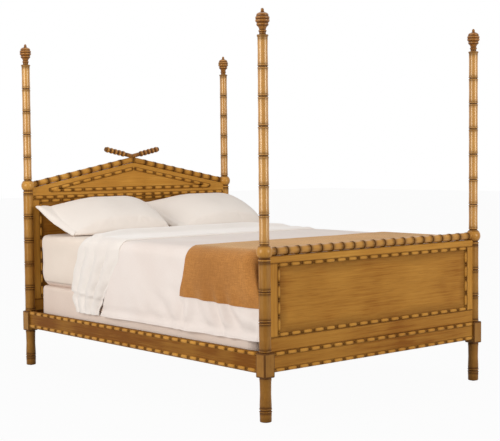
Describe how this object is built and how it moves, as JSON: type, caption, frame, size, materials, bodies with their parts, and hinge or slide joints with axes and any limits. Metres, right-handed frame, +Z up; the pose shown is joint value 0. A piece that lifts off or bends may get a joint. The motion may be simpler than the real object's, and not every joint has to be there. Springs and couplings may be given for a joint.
{
  "type": "four-poster bed",
  "caption": "Four-poster bed with faux bamboo turned posts and rails, panelled headboard and footboard, mattress, coverlet, throw and pillows.",
  "frame": {"origin": "on the floor under the middle of the bed", "axes": "+X to the right seen from the foot, +Y from the foot to the head, +Z up"},
  "size_m": [1.666, 2.305, 2],
  "materials": {
    "turned_wood": "satin honey glaze",
    "panel_wood": "satin honey glaze",
    "slat_wood": "plain",
    "steel": "plain",
    "glide": "matte",
    "ticking": "woven",
    "sheet_cotton": "smooth weave",
    "coverlet_cotton": "fine weave",
    "throw_weave": "coarse weave"
  },
  "bodies": {
    "frame": {"lower_post_foot_left": "turned_wood", "upper_post_foot_left": "turned_wood", "lower_post_foot_right": "turned_wood", "upper_post_foot_right": "turned_wood", "lower_post_head_left": "turned_wood", "upper_post_head_left": "turned_wood", "lower_post_head_right": "turned_wood", "upper_post_head_right": "turned_wood", "foot_glides": "glide", "side_rail_left": "turned_wood", "side_rail_right": "turned_wood", "rail_hook_plates": "steel", "post_hook_plates": "steel", "foot_rail": "turned_wood", "head_rail": "turned_wood", "ledger_left": "slat_wood", "ledger_right": "slat_wood", "slats": "slat_wood", "footboard_panel": "panel_wood", "headboard_panel": "panel_wood", "footboard_stile_left": "turned_wood", "footboard_stile_right": "turned_wood", "headboard_stile_left": "turned_wood", "headboard_stile_right": "turned_wood", "footboard_top_rail": "turned_wood", "footboard_bottom_rail": "turned_wood", "headboard_bottom_rail": "turned_wood", "headboard_pediment": "panel_wood", "footboard_turned_rail": "turned_wood", "headboard_rake_left": "turned_wood", "headboard_rake_right": "turned_wood", "crest_stick_left": "turned_wood", "crest_stick_right": "turned_wood", "side_rail_mouldings_left": "turned_wood", "side_rail_mouldings_right": "turned_wood", "foot_rail_mouldings": "turned_wood", "footboard_panel_mouldings": "turned_wood", "headboard_panel_mouldings": "turned_wood", "headboard_cross_moulding": "turned_wood", "tympanum_mouldings": "turned_wood"},
    "box_spring": {"box_spring": "ticking"},
    "mattress": {"mattress": "ticking", "fitted_sheet": "sheet_cotton", "coverlet": "coverlet_cotton", "top_sheet": "sheet_cotton"},
    "throw": {"throw": "throw_weave"},
    "pillow_left": {"pillow_left": "sheet_cotton"},
    "pillow_right": {"pillow_right": "sheet_cotton"},
    "finial_foot_left": {"finial_foot_left": "turned_wood"},
    "finial_foot_right": {"finial_foot_right": "turned_wood"},
    "finial_head_left": {"finial_head_left": "turned_wood"},
    "finial_head_right": {"finial_head_right": "turned_wood"}
  },
  "joints": [
    {"name": "box_spring_lift", "type": "slide", "parent": "frame", "child": "box_spring", "axis": [0, 0, 1], "range_m": [0, 0.3]},
    {"name": "mattress_lift", "type": "slide", "parent": "box_spring", "child": "mattress", "axis": [0, 0, 1], "range_m": [0, 0.4]},
    {"name": "throw_lift", "type": "slide", "parent": "mattress", "child": "throw", "axis": [0, 0, 1], "range_m": [0, 0.4]},
    {"name": "pillow_left_lift", "type": "slide", "parent": "mattress", "child": "pillow_left", "axis": [0, 0, 1], "range_m": [0, 0.4]},
    {"name": "pillow_right_lift", "type": "slide", "parent": "mattress", "child": "pillow_right", "axis": [0, 0, 1], "range_m": [0, 0.4]},
    {"name": "finial_foot_left_lift", "type": "slide", "parent": "frame", "child": "finial_foot_left", "axis": [0, 0, 1], "range_m": [0, 0.04]},
    {"name": "finial_foot_right_lift", "type": "slide", "parent": "frame", "child": "finial_foot_right", "axis": [0, 0, 1], "range_m": [0, 0.04]},
    {"name": "finial_head_left_lift", "type": "slide", "parent": "frame", "child": "finial_head_left", "axis": [0, 0, 1], "range_m": [0, 0.04]},
    {"name": "finial_head_right_lift", "type": "slide", "parent": "frame", "child": "finial_head_right", "axis": [0, 0, 1], "range_m": [0, 0.04]}
  ]
}
